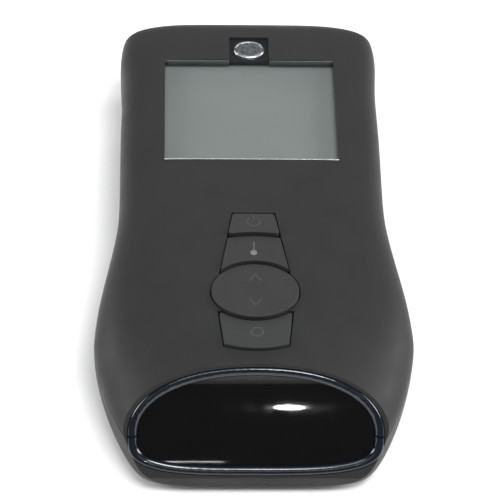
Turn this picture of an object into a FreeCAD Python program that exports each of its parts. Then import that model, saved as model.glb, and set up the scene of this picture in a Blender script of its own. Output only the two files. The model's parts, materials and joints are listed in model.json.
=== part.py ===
import FreeCAD, Part
import math
import os

# Handheld battery optical meter that lies on its flat back.
# Row frame: +X to the right, +Y towards the display end (tail), nose at -Y, +Z up.
# Origin: centre of the base rectangle, on the base plane. All sizes in millimetres.

V = FreeCAD.Vector

# ---- housing, overall ----
BODY_LENGTH = 146.1      # nose to tail
WAIST_WIDTH = 74.8       # across the parallel display half
HEAD_WIDTH = 87.0        # across the flared head
TOP_HEIGHT = 16.0        # parting plane up to the top face
BASE_DEPTH = 16.5        # parting plane down to the base plane
BASE_CROWN = 0.6         # depth of the rounded belly that the flat base cuts away
WALL = 2.2
# ---- plan outline ----
WAIST_LENGTH = 66.3      # tail to where the waist begins to widen
HEAD_SETBACK = 34.6      # nose to the widest place
NOSE_FLAT = 29.0         # half-width of the straight nose front
NOSE_POWER = 1.43        # superellipse power of the nose corners in plan
TAIL_FLAT = 17.6         # half-width of the straight tail end
TAIL_CORNER = 4.8        # length of the tail corners
TAIL_POWER = 2.5
TAIL_TOP_DROP = 3.6      # roll of the top face into the tail end
TAIL_BASE_RISE = 4.0
CHIN_RISE = 4.0          # roll of the base into the nose
CHIN_LENGTH = 6.0
# ---- cross section powers ----
TOP_POWER_NOSE = 1.65
TOP_POWER_TAIL = 5.5
TOP_BLEND_LENGTH = 100.0
LOW_POWER_NOSE = 5.5
LOW_POWER_TAIL = 4.0
LOW_BLEND_LENGTH = 40.0
# ---- parting joint ----
LIP_HEIGHT = 1.5
LIP_CLEARANCE = 0.12
LINE_WIDTH = 0.45         # shadow line round the parting plane
LINE_DEPTH = 0.45
# ---- nose mouth, in its own leaning plane ----
LEAN = 37.0              # degrees back from upright
RIM_TOP_SETBACK = 19.1   # nose front to where the mouth plane meets the top face
MOUTH_HALF_WIDTH = 34.2
MOUTH_TOP_LAND = 0.85    # housing left above the mouth, along its plane
MOUTH_CHIN_LAND = 0.6    # housing left below the mouth
MOUTH_TOP_POWER = 2.2
MOUTH_LOW_POWER = 3.4
RIM_WIDTH = 2.7
RIM_PROUD = 0.35
RIM_DEPTH = 4.0
RIM_GAP = 0.1            # trim to housing, window to trim
RIM_OUTER_ROUND = 0.8
RIM_INNER_ROUND = 1.3
TRIM_SPLIT = 0.45        # gap between the two trims at the parting plane
BULKHEAD = 1.2
BULKHEAD_REACH = 1.6     # how far it runs into the housing wall
BULKHEAD_LAND = 1.8      # how far it stands in behind the window edge
WINDOW_LOW_SET = 0.7     # window face behind the mouth plane at the chin
WINDOW_MID_SET = 0.6
WINDOW_TOP_SET = 2.3
GASKET = 0.8
# ---- display ----
DISPLAY_TAIL_MARGIN = 16.4
DISPLAY_WIDTH = 49.3
DISPLAY_LENGTH = 38.9
DISPLAY_CORNER = 0.6
DISPLAY_RECESS = 2.4     # top face down to the window
WINDOW_MARGIN = 2.0
WINDOW_THICK = 0.8
SEAL_THICK = 0.3
SEAL_WIDTH = 1.6
PANEL_THICK = 2.0
BACKLIGHT_INSET = 2.9    # behind the panel edge, room for the strips
STRIP_WIDTH = 2.2
STRIP_LENGTH = 48.0
# ---- badge tab ----
TAB_WIDTH = 11.5
TAB_LENGTH = 9.1
TAB_DEPTH = 1.2
TAB_PLATE = 0.4
TAB_FIT = 0.15
BADGE_WIDTH = 9.0
BADGE_LENGTH = 6.9
BADGE_THICK = 0.5
# ---- keys ----
KEY_MARGIN = 19.7        # display near edge to the far edge of the key cluster
KEY_FAR_HALF = 6.1
KEY_FLARE = 0.17         # widening per mm towards the nose
POWER_LENGTH = 8.8
TEMPERATURE_LENGTH = 13.5
EDGE_ARCH = 0.8          # arch of the power key's near edge
ROCKER_OFFSET = 27.7     # cluster far edge to the rocker centre
ROCKER_HALF_WIDTH = 12.25
ROCKER_HALF_LENGTH = 9.75
MODE_TOP_HALF = 10.3
MODE_NEAR_HALF = 8.9
MODE_START = 6.6         # rocker centre to the mode key's side tops
MODE_LENGTH = 11.9
MODE_ARCH = 1.6
KEY_GAP = 0.4            # each key inside its own cell
KEY_PROUD = 1.0          # near edge above the top face
KEY_FAR_PROUD = 0.1
KEY_THICK = 3.0          # cap below the top face
KEY_ROUND = 0.3
KEY_CORNER = 0.9
EAR_REACH = 1.2
EAR_LENGTH = 4.0
EAR_THICK = 0.9
KEY_CLEARANCE = 0.3      # ear to ceiling
STEM_RADIUS = 1.5
DOME_RADIUS = 3.0
DOME_TOP_RADIUS = 1.6
DOME_HEIGHT = 1.0
PIVOT_DROP = 4.9         # top face down to the rocker's pivot
PIN_RADIUS = 1.0
PIN_FIT = 0.06
PIN_LENGTH = 3.4
BRACKET_GAP = 0.5
BRACKET_THICK = 2.0
BRACKET_HALF = 2.2
ROCKER_LEG_OFFSET = 6.0
ROCKER_LEG_GAP = 0.42
# ---- main board ----
BOARD_DROP = 8.5         # top face down to the board
BOARD_THICK = 1.6
BOARD_HALF = 29.5
BOARD_NOSE_MARGIN = 23.6
BOARD_TAIL_MARGIN = 5.6
POST_RADIUS = 3.2
BOARD_SCREW_X = 24.0
BOARD_SCREW_TAIL_MARGIN = 9.8
BOARD_SCREW_KEY_OFFSET = 10.0
# ---- screws ----
BOSS_RADIUS = 3.5
BOSS_CLEARANCE = 0.4
SCREW_RADIUS = 1.25
SCREW_FIT = 0.03
SCREW_HEAD_RADIUS = 2.5
SCREW_HEAD = 1.7
SCREW_SEAT = 6.0         # base plane up to the head's seat
SCREW_GRIP = 8.0         # into the upper boss
NOSE_SCREW_X = 35.0
NOSE_SCREW_MARGIN = 33.0
WAIST_SCREW_X = 26.0
WAIST_SCREW_GAP = 8.5    # display near edge to the waist screws
SMALL_SCREW_RADIUS = 1.0
SMALL_HEAD_RADIUS = 2.0
SMALL_HEAD = 1.4
SMALL_GRIP = 4.5
# ---- cells and their bay ----
CELL_RADIUS = 7.25
CELL_LENGTH = 50.5
CELL_NUB = 1.0
CELL_NUB_RADIUS = 2.75
CELL_PITCH = 15.0
CELL_FLOOR_GAP = 1.5
CELL_ROOM = 0.5
BAY_TAIL_MARGIN = 6.8    # tail to the bay
BAY_WALL = 1.2
BAY_ROOF = 1.2
SPRING_LENGTH = 4.0
SPRING_RADIUS = 3.2
SPRING_WIRE = 0.35
SPRING_TURNS = 3
COIL_POINTS = 12          # along one turn of the spring
CONTACT_THICK = 0.5
CONTACT_WIDTH = 11.0
CONTACT_TAB_WIDTH = 4.0
CHANNEL_HALF = 29.5      # half-length of the low channel for the door's tongues
CHANNEL_HEIGHT = 2.2
# ---- battery door ----
DOOR_HALF = 27.0
DOOR_GAP = 0.3
DOOR_RECESS = 0.3
DOOR_LIP_HEIGHT = 6.2
DOOR_TRAVEL_ROOM = 6.3
TONGUE_THICK = 0.9
TONGUE_LENGTH = 5.0
TONGUE_OVERLAP = 1.7
TONGUE_ROOT = 1.5
GRIP_RIBS = 5
GRIP_PITCH = 1.8
GRIP_WIDTH = 16.0
GRIP_DEPTH = 0.4
# ---- sensor unit, in the mouth's leaning frame ----
SENSOR_BACKSET = 7.0     # bulkhead to the sensor board
SENSOR_HALF = 34.0
SENSOR_LOW = -3.0
SENSOR_HIGH = 12.0
SENSOR_THICK = 1.6
SENSOR_AXIS = 4.5        # optical axis above the parting line
SENSOR_POST_X = 31.4
SENSOR_POST_V = -0.4
SENSOR_POST_RADIUS = 2.5
BARREL_RADIUS = 7.0
BARREL_WALL = 1.0
BARREL_LENGTH = 6.2
LENS_THICK = 2.4
LENS_BULGE_RADIUS = 16.0
LENS_SETBACK = 0.4
DIODE_SIDE = 5.0
DIODE_HEIGHT = 1.4
LED_RADIUS = 2.5
LED_LENGTH = 5.4
LED_FLANGE = 0.8
LED_PLACES = (-21.0, -13.0, 13.0, 21.0)
RIBBON_HALF = 7.0
RIBBON_THICK = 0.4
SOCKET_HALF = 8.5
SOCKET_LENGTH = 4.0
SOCKET_HEIGHT = 2.2
SOCKET_V = 8.0

STEPS = 24               # intervals along each half section

# ---- places worked out from the sizes above ----
NOSE_Y = -BODY_LENGTH / 2
TAIL_Y = BODY_LENGTH / 2
SEAM_Z = BASE_DEPTH
TOP_Z = BASE_DEPTH + TOP_HEIGHT
CEILING_Z = TOP_Z - WALL
HEAD_Y = NOSE_Y + HEAD_SETBACK
FLARE_START_Y = TAIL_Y - WAIST_LENGTH
LEAN_ANGLE = math.radians(LEAN)
MOUTH_Y = NOSE_Y + RIM_TOP_SETBACK - TOP_HEIGHT * math.tan(LEAN_ANGLE)
MOUTH_RISE = TOP_HEIGHT / math.cos(LEAN_ANGLE) - MOUTH_TOP_LAND
MOUTH_DROP = (MOUTH_Y - NOSE_Y) / math.sin(LEAN_ANGLE) - MOUTH_CHIN_LAND
DISPLAY_FAR_Y = TAIL_Y - DISPLAY_TAIL_MARGIN
DISPLAY_NEAR_Y = DISPLAY_FAR_Y - DISPLAY_LENGTH
WINDOW_Z = TOP_Z - DISPLAY_RECESS
PANEL_Z = WINDOW_Z - WINDOW_THICK
BOARD_Z = TOP_Z - BOARD_DROP
BOARD_BELOW_Z = BOARD_Z - BOARD_THICK
KEY_FAR_Y = DISPLAY_NEAR_Y - KEY_MARGIN
ROCKER_Y = KEY_FAR_Y - ROCKER_OFFSET
MODE_FAR_Y = ROCKER_Y - MODE_START
KEY_BOTTOM_Z = TOP_Z - KEY_THICK
PIVOT_Z = TOP_Z - PIVOT_DROP
CELL_Z = WALL + CELL_FLOOR_GAP + CELL_RADIUS
BAY_TOP_Z = CELL_Z + CELL_RADIUS + 0.2
BAY_FAR_Y = TAIL_Y - BAY_TAIL_MARGIN
BAY_NEAR_Y = BAY_FAR_Y - CELL_PITCH - 2 * CELL_RADIUS - 2 * CELL_ROOM
BAY_HALF = (CELL_LENGTH + SPRING_LENGTH) / 2 + CONTACT_THICK
CELL_YS = (BAY_NEAR_Y + CELL_ROOM + CELL_RADIUS, BAY_FAR_Y - CELL_ROOM - CELL_RADIUS)
DOOR_NEAR_Y = BAY_NEAR_Y
BULKHEAD_BACK = -RIM_DEPTH - BULKHEAD
SENSOR_N = BULKHEAD_BACK - SENSOR_BACKSET
HOUSING_SCREWS = [(side * x, y) for side in (-1, 1) for x, y in (
    (NOSE_SCREW_X, NOSE_Y + NOSE_SCREW_MARGIN),
    (WAIST_SCREW_X, DISPLAY_NEAR_Y - WAIST_SCREW_GAP))]
BOARD_SCREWS = [(side * BOARD_SCREW_X, y) for side in (-1, 1) for y in (
    TAIL_Y - BOARD_SCREW_TAIL_MARGIN, KEY_FAR_Y - BOARD_SCREW_KEY_OFFSET)]
FAR = 200.0              # larger than the object, for cutting boxes


# ---- small helpers ----
def smooth(t):
    t = min(max(t, 0.0), 1.0)
    return t * t * (3.0 - 2.0 * t)


def box(x0, x1, y0, y1, z0, z1):
    return Part.makeBox(x1 - x0, y1 - y0, z1 - z0, V(x0, y0, z0))


def wide_box(half, y0, y1, z0, z1):
    return box(-half, half, y0, y1, z0, z1)


def post(x, y, z0, z1, radius):
    return Part.makeCylinder(radius, z1 - z0, V(x, y, z0))


def fuse(shapes):
    joined = shapes[0].multiFuse(shapes[1:]) if len(shapes) > 1 else shapes[0]
    return joined.removeSplitter()


def slab(z0, z1):
    return box(-FAR, FAR, -FAR, FAR, z0, z1)


def prism(wire, z0, z1):
    face = Part.Face(wire)
    return face.translated(V(0, 0, z0)).extrude(V(0, 0, z1 - z0))


def spline(points):
    """Curve through the points, with the same knots for every curve of as many points."""
    curve = Part.BSplineCurve()
    curve.interpolate(Points=points, Parameters=[i / (len(points) - 1) for i in range(len(points))])
    return curve.toShape()


def half_section(half_width, height, power):
    """Superelliptic half outline from +x over the height to -x, as (x, z) pairs."""
    points = []
    for step in range(STEPS + 1):
        angle = math.pi * step / STEPS
        across, along = math.cos(angle), math.sin(angle)
        reach = (abs(across) ** power + abs(along) ** power) ** (-1.0 / power)
        points.append((reach * half_width * across, reach * height * along))
    points[0], points[-1] = (half_width, 0.0), (-half_width, 0.0)
    return points


# ---- housing shape ----
def stations(inset):
    """Places along the body: y, half-width, height above and depth below the parting plane."""
    head, waist = HEAD_WIDTH / 2 - inset, WAIST_WIDTH / 2 - inset
    nose_flat, tail_flat = NOSE_FLAT - inset / 2, TAIL_FLAT - inset / 2
    height, depth = TOP_HEIGHT - inset, BASE_DEPTH + BASE_CROWN - inset
    nose_y, tail_y = NOSE_Y + inset, TAIL_Y - inset
    tail_start = TAIL_Y - TAIL_CORNER - inset / 2
    rows = []
    for step in range(9):
        angle = math.pi / 2 * (1 - step / 9.0)
        out, side = math.sin(angle) ** (2 / NOSE_POWER), math.cos(angle) ** (2 / NOSE_POWER)
        y = HEAD_Y - (HEAD_Y - nose_y) * out
        rise = CHIN_RISE * max(0.0, (nose_y + CHIN_LENGTH - y) / CHIN_LENGTH) ** 2.5
        rows.append((y, nose_flat + (head - nose_flat) * side, height, depth - rise))
    for step in range(9):
        y = HEAD_Y + (FLARE_START_Y - HEAD_Y) * step / 8.0
        share = smooth((FLARE_START_Y - y) / (FLARE_START_Y - HEAD_Y))
        rows.append((y, waist + (head - waist) * share, height, depth))
    for step in range(1, 4):
        rows.append((FLARE_START_Y + (tail_start - FLARE_START_Y) * step / 4.0, waist, height, depth))
    for step in range(10):
        angle = math.pi / 2 * (1 - (1 - step / 9.0) ** 1.8)
        out, side = math.sin(angle) ** (2 / TAIL_POWER), math.cos(angle) ** (2 / TAIL_POWER)
        y = tail_start + (tail_y - tail_start) * out
        rows.append((y, tail_flat + (waist - tail_flat) * side,
                     height - TAIL_TOP_DROP * (1 - side), depth - TAIL_BASE_RISE * (1 - side)))
    return rows


def section_wire(y, half_width, height, depth):
    top_power = TOP_POWER_NOSE + (TOP_POWER_TAIL - TOP_POWER_NOSE) * smooth((y - NOSE_Y) / TOP_BLEND_LENGTH)
    low_power = LOW_POWER_NOSE + (LOW_POWER_TAIL - LOW_POWER_NOSE) * smooth((y - NOSE_Y) / LOW_BLEND_LENGTH)
    over = [V(x, y, SEAM_Z + z) for x, z in half_section(half_width, height, top_power)]
    under = [V(-x, y, SEAM_Z - z) for x, z in half_section(half_width, depth, low_power)]
    return Part.Wire([spline(over), spline(under)])


def body(inset):
    wires = [section_wire(*row) for row in stations(inset)]
    return Part.makeLoft(wires, True, False)


# ---- mouth, drawn in a frame that leans back: X, up along the plane, outward normal ----
def lean_back(shape):
    placed = shape.copy()
    placed.Placement = FreeCAD.Placement(V(0, MOUTH_Y, SEAM_Z), FreeCAD.Rotation(V(1, 0, 0), 90 - LEAN))
    return placed


def mouth_prism(inset, back, front):
    half = MOUTH_HALF_WIDTH - inset
    over = [V(x, z, 0) for x, z in half_section(half, MOUTH_RISE - inset, MOUTH_TOP_POWER)]
    under = [V(-x, -z, 0) for x, z in half_section(half, MOUTH_DROP - inset, MOUTH_LOW_POWER)]
    return prism(Part.Wire([spline(over), spline(under)]), back, front)


def nose_trim():
    ring = mouth_prism(RIM_GAP, -RIM_DEPTH, RIM_PROUD).cut(
        mouth_prism(RIM_WIDTH, -RIM_DEPTH, RIM_PROUD))
    crest = [e for e in ring.Edges if abs(e.BoundBox.ZMin - RIM_PROUD) < 1e-4]
    outer = [e for e in crest if e.BoundBox.XLength > 2 * (MOUTH_HALF_WIDTH - RIM_WIDTH) + 1]
    inner = [e for e in crest if e.BoundBox.XLength <= 2 * (MOUTH_HALF_WIDTH - RIM_WIDTH) + 1]
    ring = ring.makeFillet(RIM_OUTER_ROUND, outer)
    inner = [e for e in ring.Edges if abs(e.BoundBox.ZMin - RIM_PROUD) < 1e-4
             and e.BoundBox.XLength <= 2 * (MOUTH_HALF_WIDTH - RIM_WIDTH) + 1]
    return lean_back(ring.makeFillet(RIM_INNER_ROUND, inner))


def nose_window():
    """Glossy cover: upright by the chin, rolling back towards the top of the mouth."""
    low, high = -MOUTH_DROP - 1, MOUTH_RISE + 1
    back = -RIM_DEPTH + GASKET
    face_arc = Part.Arc(V(0, low, -WINDOW_LOW_SET), V(0, 0, -WINDOW_MID_SET), V(0, high, -WINDOW_TOP_SET))
    rim = [V(0, high, -WINDOW_TOP_SET), V(0, high, back), V(0, low, back), V(0, low, -WINDOW_LOW_SET)]
    outline = Part.Wire([face_arc.toShape()] + [Part.makeLine(rim[i], rim[i + 1]) for i in range(3)])
    stock = Part.Face(outline).translated(V(-FAR / 2, 0, 0)).extrude(V(FAR, 0, 0))
    return lean_back(stock.common(mouth_prism(RIM_WIDTH + RIM_GAP, back, 0)))


def window_gasket():
    outer = mouth_prism(RIM_WIDTH + RIM_GAP, -RIM_DEPTH, -RIM_DEPTH + GASKET)
    inner = mouth_prism(RIM_WIDTH + BULKHEAD_LAND, -RIM_DEPTH, -RIM_DEPTH + GASKET)
    return lean_back(outer.cut(inner))


def bulkhead():
    plate = mouth_prism(-BULKHEAD_REACH, BULKHEAD_BACK, -RIM_DEPTH)
    return lean_back(plate.cut(mouth_prism(RIM_WIDTH + BULKHEAD_LAND, BULKHEAD_BACK, -RIM_DEPTH)))


# ---- key cells in plan ----
def flank(y):
    return KEY_FAR_HALF + KEY_FLARE * (KEY_FAR_Y - y)


def arch(half_start, y_start, y_middle):
    return Part.Arc(V(half_start, y_start, 0), V(0, y_middle, 0), V(-half_start, y_start, 0)).toShape()


def line(x0, y0, x1, y1):
    return Part.makeLine(V(x0, y0, 0), V(x1, y1, 0))


def power_cell():
    near = KEY_FAR_Y - POWER_LENGTH
    a, b = KEY_FAR_HALF, flank(near)
    return Part.Wire([line(-a, KEY_FAR_Y, a, KEY_FAR_Y), line(a, KEY_FAR_Y, b, near),
                      arch(b, near, near + EDGE_ARCH), line(-b, near, -a, KEY_FAR_Y)])


def temperature_cell():
    """It runs on under the rocker, which cuts its near edge."""
    far, near = KEY_FAR_Y - POWER_LENGTH, ROCKER_Y
    a, b = flank(far), flank(near)
    return Part.Wire([line(a, far, b, near), line(b, near, -b, near), line(-b, near, -a, far),
                      arch(a, far, far + EDGE_ARCH)])


def rocker_cell(grow=0):
    ring = Part.Ellipse(V(0, ROCKER_Y, 0), ROCKER_HALF_WIDTH + grow, ROCKER_HALF_LENGTH + grow)
    return Part.Wire([ring.toShape()])


def mode_cell():
    far, near = MODE_FAR_Y, MODE_FAR_Y - MODE_LENGTH
    a, b = MODE_TOP_HALF, MODE_NEAR_HALF
    return Part.Wire([line(-a, far, a, far), line(a, far, b, near), arch(b, near, near - MODE_ARCH),
                      line(-b, near, -a, far)])


def key_prism(cell, inset, z0, z1):
    outline = cell if inset == 0 else cell.makeOffset2D(-inset)
    return prism(outline, z0, z1)


def key_opening():
    cells = [power_cell(), temperature_cell(), rocker_cell(), mode_cell()]
    low = KEY_BOTTOM_Z - 2 * KEY_CLEARANCE
    return fuse([key_prism(cell, 0, low, TOP_Z + 3) for cell in cells])


def shingle(cap, y_far, y_near):
    """Slope the cap's top from its low far edge up to its proud near edge."""
    rise = KEY_PROUD - KEY_FAR_PROUD
    slope = math.degrees(math.atan2(rise, y_far - y_near))
    blade = wide_box(FAR, -FAR, FAR, 0, FAR)
    blade.Placement = FreeCAD.Placement(V(0, y_far, TOP_Z + KEY_FAR_PROUD), FreeCAD.Rotation(V(1, 0, 0), -slope))
    return cap.cut(blade)


def round_top(cap, y_limit=FAR):
    """Round the top edges whose middle lies on the nose side of y_limit."""
    highest = [e for e in cap.Edges if e.BoundBox.ZMin > TOP_Z - 0.01 and e.CenterOfMass.y < y_limit]
    return cap.makeFillet(KEY_ROUND, highest)


def round_corners(cap):
    upright = [e for e in cap.Edges if len(e.Vertexes) == 2 and isinstance(e.Curve, Part.Line)
               and e.BoundBox.XLength < 1e-4 and e.BoundBox.YLength < 1e-4]
    return cap.makeFillet(KEY_CORNER, upright)


def press_key(cap, y_stem, half):
    """A cap with two retaining ears under the top wall and a stem down to its dome."""
    ear_top = CEILING_Z - KEY_CLEARANCE
    ears = wide_box(half + EAR_REACH, y_stem - EAR_LENGTH / 2, y_stem + EAR_LENGTH / 2,
                    ear_top - EAR_THICK, ear_top)
    stem = post(0, y_stem, BOARD_Z + DOME_HEIGHT, KEY_BOTTOM_Z + 0.5, STEM_RADIUS)
    return fuse([cap, ears, stem])


def cap_from(cell, y_far, y_near):
    cap = round_corners(key_prism(cell, KEY_GAP, KEY_BOTTOM_Z, TOP_Z + KEY_PROUD + 1))
    return round_top(shingle(cap, y_far, y_near))


POWER_STEM_Y = KEY_FAR_Y - POWER_LENGTH / 2
TEMPERATURE_STEM_Y = KEY_FAR_Y - POWER_LENGTH - 3.4
MODE_STEM_Y = MODE_FAR_Y - MODE_LENGTH * 0.62


def power_key():
    cap = cap_from(power_cell(), KEY_FAR_Y, KEY_FAR_Y - POWER_LENGTH)
    return press_key(cap, POWER_STEM_Y, flank(POWER_STEM_Y))


def temperature_key():
    far = KEY_FAR_Y - POWER_LENGTH
    cap = key_prism(temperature_cell(), KEY_GAP, KEY_BOTTOM_Z, TOP_Z + KEY_PROUD + 1)
    cap = cap.cut(prism(rocker_cell(KEY_GAP), KEY_BOTTOM_Z - 1, TOP_Z + 5))
    cap = round_top(shingle(cap, far, far - TEMPERATURE_LENGTH))
    return press_key(cap, TEMPERATURE_STEM_Y, flank(TEMPERATURE_STEM_Y))


def mode_key():
    cap = round_corners(key_prism(mode_cell(), KEY_GAP, KEY_BOTTOM_Z, TOP_Z + KEY_PROUD + 1))
    cap = cap.cut(prism(rocker_cell(KEY_GAP), KEY_BOTTOM_Z - 1, TOP_Z + 5))
    horns = ROCKER_Y - ROCKER_HALF_LENGTH
    cap = round_top(shingle(cap, horns, MODE_FAR_Y - MODE_LENGTH - MODE_ARCH), horns - 1)
    return press_key(cap, MODE_STEM_Y, MODE_TOP_HALF)


def rocker_key():
    cap = prism(rocker_cell(-KEY_GAP), KEY_BOTTOM_Z, TOP_Z + KEY_PROUD + 1)
    cap = round_top(shingle(cap, ROCKER_Y + ROCKER_HALF_LENGTH, ROCKER_Y - ROCKER_HALF_LENGTH))
    spine_half = ROCKER_HALF_WIDTH - KEY_GAP - 0.8
    spine = wide_box(spine_half, ROCKER_Y - 1.2, ROCKER_Y + 1.2, PIVOT_Z - PIN_RADIUS, KEY_BOTTOM_Z)
    reach = spine_half + PIN_LENGTH
    pin = Part.makeCylinder(PIN_RADIUS, 2 * reach, V(-reach, ROCKER_Y, PIVOT_Z), V(1, 0, 0))
    foot = BOARD_Z + DOME_HEIGHT + ROCKER_LEG_GAP
    legs = [post(0, ROCKER_Y + side * ROCKER_LEG_OFFSET, foot, KEY_BOTTOM_Z + 0.5, STEM_RADIUS)
            for side in (-1, 1)]
    return fuse([cap, spine, pin] + legs)


def dome(y):
    return Part.makeCone(DOME_RADIUS, DOME_TOP_RADIUS, DOME_HEIGHT, V(0, y, BOARD_Z))


# ---- display stack ----
def display_frame(margin, z0, z1):
    half = DISPLAY_WIDTH / 2 + margin
    return wide_box(half, DISPLAY_NEAR_Y - margin, DISPLAY_FAR_Y + margin, z0, z1)


def display_seal():
    seat = WINDOW_Z + SEAL_THICK
    return display_frame(WINDOW_MARGIN, WINDOW_Z, seat).cut(
        display_frame(WINDOW_MARGIN - SEAL_WIDTH, WINDOW_Z, seat))


def strips():
    low = DISPLAY_NEAR_Y - WINDOW_MARGIN + 0.3
    high = DISPLAY_FAR_Y + WINDOW_MARGIN - 0.3
    return Part.makeCompound([
        wide_box(STRIP_LENGTH / 2, low, low + STRIP_WIDTH, BOARD_Z, PANEL_Z - PANEL_THICK),
        wide_box(STRIP_LENGTH / 2, high - STRIP_WIDTH, high, BOARD_Z, PANEL_Z - PANEL_THICK)])


def tab_outline(fit, z0, z1):
    return wide_box(TAB_WIDTH / 2 - fit, DISPLAY_FAR_Y + fit, DISPLAY_FAR_Y + TAB_LENGTH - fit, z0, z1)


def badge():
    y = DISPLAY_FAR_Y + TAB_LENGTH / 2
    oval = Part.Ellipse(V(0, y, 0), BADGE_WIDTH / 2, BADGE_LENGTH / 2).toShape()
    z0 = TOP_Z - TAB_DEPTH + TAB_PLATE
    disc = prism(Part.Wire([oval]), z0, z0 + BADGE_THICK)
    rim = [e for e in disc.Edges if e.BoundBox.ZMin > z0 + BADGE_THICK - 1e-4]
    return disc.makeFillet(BADGE_THICK * 0.6, rim)


# ---- shells ----
def screw_bosses(z0, z1):
    return [post(x, y, z0, z1, BOSS_RADIUS) for x, y in HOUSING_SCREWS]


def upper_shell(outer, inner, lip_zone):
    hull = outer.common(slab(SEAM_Z, TOP_Z + 1))
    cavity = inner.common(slab(SEAM_Z - 1, CEILING_Z))
    shell = hull.cut(cavity)
    inside = body(WALL * 0.4).common(slab(SEAM_Z, TOP_Z))
    frame = [bulkhead()] + screw_bosses(SEAM_Z, TOP_Z)
    frame += [post(x, y, BOARD_Z, TOP_Z, POST_RADIUS) for x, y in BOARD_SCREWS]
    frame += [box(*x_range, ROCKER_Y - BRACKET_HALF, ROCKER_Y + BRACKET_HALF,
                  PIVOT_Z - PIN_RADIUS - 1.2, CEILING_Z + 0.5) for x_range in bracket_ranges()]
    shell = fuse([shell] + [piece.common(inside) for piece in frame])
    shell = shell.cut(lean_back(mouth_prism(0, -RIM_DEPTH, FAR)))
    shell = shell.cut(lean_back(box(-FAR, FAR, -FAR, FAR, 0, FAR)))
    seat = WINDOW_Z + SEAL_THICK
    cuts = [display_opening(), display_frame(WINDOW_MARGIN + 0.25, BOARD_Z, seat),
            tab_outline(0, TOP_Z - TAB_DEPTH, TOP_Z + 3).fuse(wide_box(
                TAB_WIDTH / 2, DISPLAY_FAR_Y - 1, DISPLAY_FAR_Y + 1, TOP_Z - TAB_DEPTH, TOP_Z + 3)),
            key_opening(), lip_zone]
    cuts += [Part.makeCylinder(PIN_RADIUS + PIN_FIT, 2 * FAR, V(-FAR, ROCKER_Y, PIVOT_Z), V(1, 0, 0)).common(
        wide_box(ROCKER_HALF_WIDTH + BRACKET_GAP + BRACKET_THICK + 1, ROCKER_Y - 3, ROCKER_Y + 3, 0, TOP_Z))]
    cuts += [post(x, y, SEAM_Z, SEAM_Z + SCREW_GRIP + 1, SCREW_RADIUS + SCREW_FIT) for x, y in HOUSING_SCREWS]
    cuts += [post(x, y, BOARD_Z, BOARD_Z + SMALL_GRIP + 0.5, SMALL_SCREW_RADIUS + SCREW_FIT)
             for x, y in BOARD_SCREWS]
    return shell.cut(cuts)


def bracket_ranges():
    near = ROCKER_HALF_WIDTH + BRACKET_GAP
    far = near + BRACKET_THICK
    return [(near, far), (-far, -near)]


def display_opening():
    hole = display_frame(0, WINDOW_Z - 1, TOP_Z + 3)
    upright = [e for e in hole.Edges if e.BoundBox.ZLength > 3]
    return hole.makeFillet(DISPLAY_CORNER, upright)


def lower_shell(outer, inner, tongue):
    hull = outer.common(slab(0, SEAM_Z))
    cavity = inner.common(slab(WALL, SEAM_Z + 1))
    shell = hull.cut(cavity)
    inside = body(WALL * 0.4).common(slab(WALL / 2, SEAM_Z + FAR))
    bay = wide_box(CHANNEL_HALF + BAY_WALL, BAY_NEAR_Y - BAY_WALL, BAY_FAR_Y + BAY_WALL,
                   WALL / 2, BAY_TOP_Z + BAY_ROOF)
    low_frame = [bulkhead().common(slab(0, SEAM_Z))] + screw_bosses(0, SEAM_Z)
    frame = [piece.common(inside) for piece in low_frame + [bay]]
    shell = fuse([shell] + frame)
    shell = shell.cut(lean_back(mouth_prism(0, -RIM_DEPTH, FAR)))
    shell = shell.cut(lean_back(box(-FAR, FAR, -FAR, FAR, 0, FAR)))
    shell = fuse([shell, tongue] + sensor_posts())
    cuts = [wide_box(BAY_HALF, BAY_NEAR_Y, BAY_FAR_Y, WALL, BAY_TOP_Z),
            wide_box(CHANNEL_HALF, BAY_NEAR_Y, BAY_FAR_Y, WALL, WALL + CHANNEL_HEIGHT),
            wide_box(DOOR_HALF, DOOR_NEAR_Y, FAR, -1, WALL + DOOR_GAP),
            wide_box(DOOR_HALF, TAIL_Y - BAY_TAIL_MARGIN + BAY_WALL, FAR, -1, DOOR_LIP_HEIGHT + DOOR_GAP)]
    cuts += [box(-BAY_HALF, -BAY_HALF + CONTACT_THICK, y - CONTACT_TAB_WIDTH / 2, y + CONTACT_TAB_WIDTH / 2,
                 BAY_TOP_Z - 1, BAY_TOP_Z + BAY_ROOF + 1) for y in CELL_YS]
    for x, y in HOUSING_SCREWS:
        cuts.append(post(x, y, -1, SCREW_SEAT, SCREW_HEAD_RADIUS + 0.3))
        cuts.append(post(x, y, SCREW_SEAT - 1, SEAM_Z + 1, SCREW_RADIUS + SCREW_FIT))
    return shell.cut(cuts)


def sensor_posts():
    posts, holes = [], []
    for side in (-1, 1):
        base = V(side * SENSOR_POST_X, SENSOR_POST_V, SENSOR_N)
        posts.append(Part.makeCylinder(SENSOR_POST_RADIUS, -SENSOR_N - RIM_DEPTH, base))
        holes.append(Part.makeCylinder(SMALL_SCREW_RADIUS + SCREW_FIT, SMALL_GRIP + 0.5, base))
    return [lean_back(p.cut(h)) for p, h in zip(posts, holes)]


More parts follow.
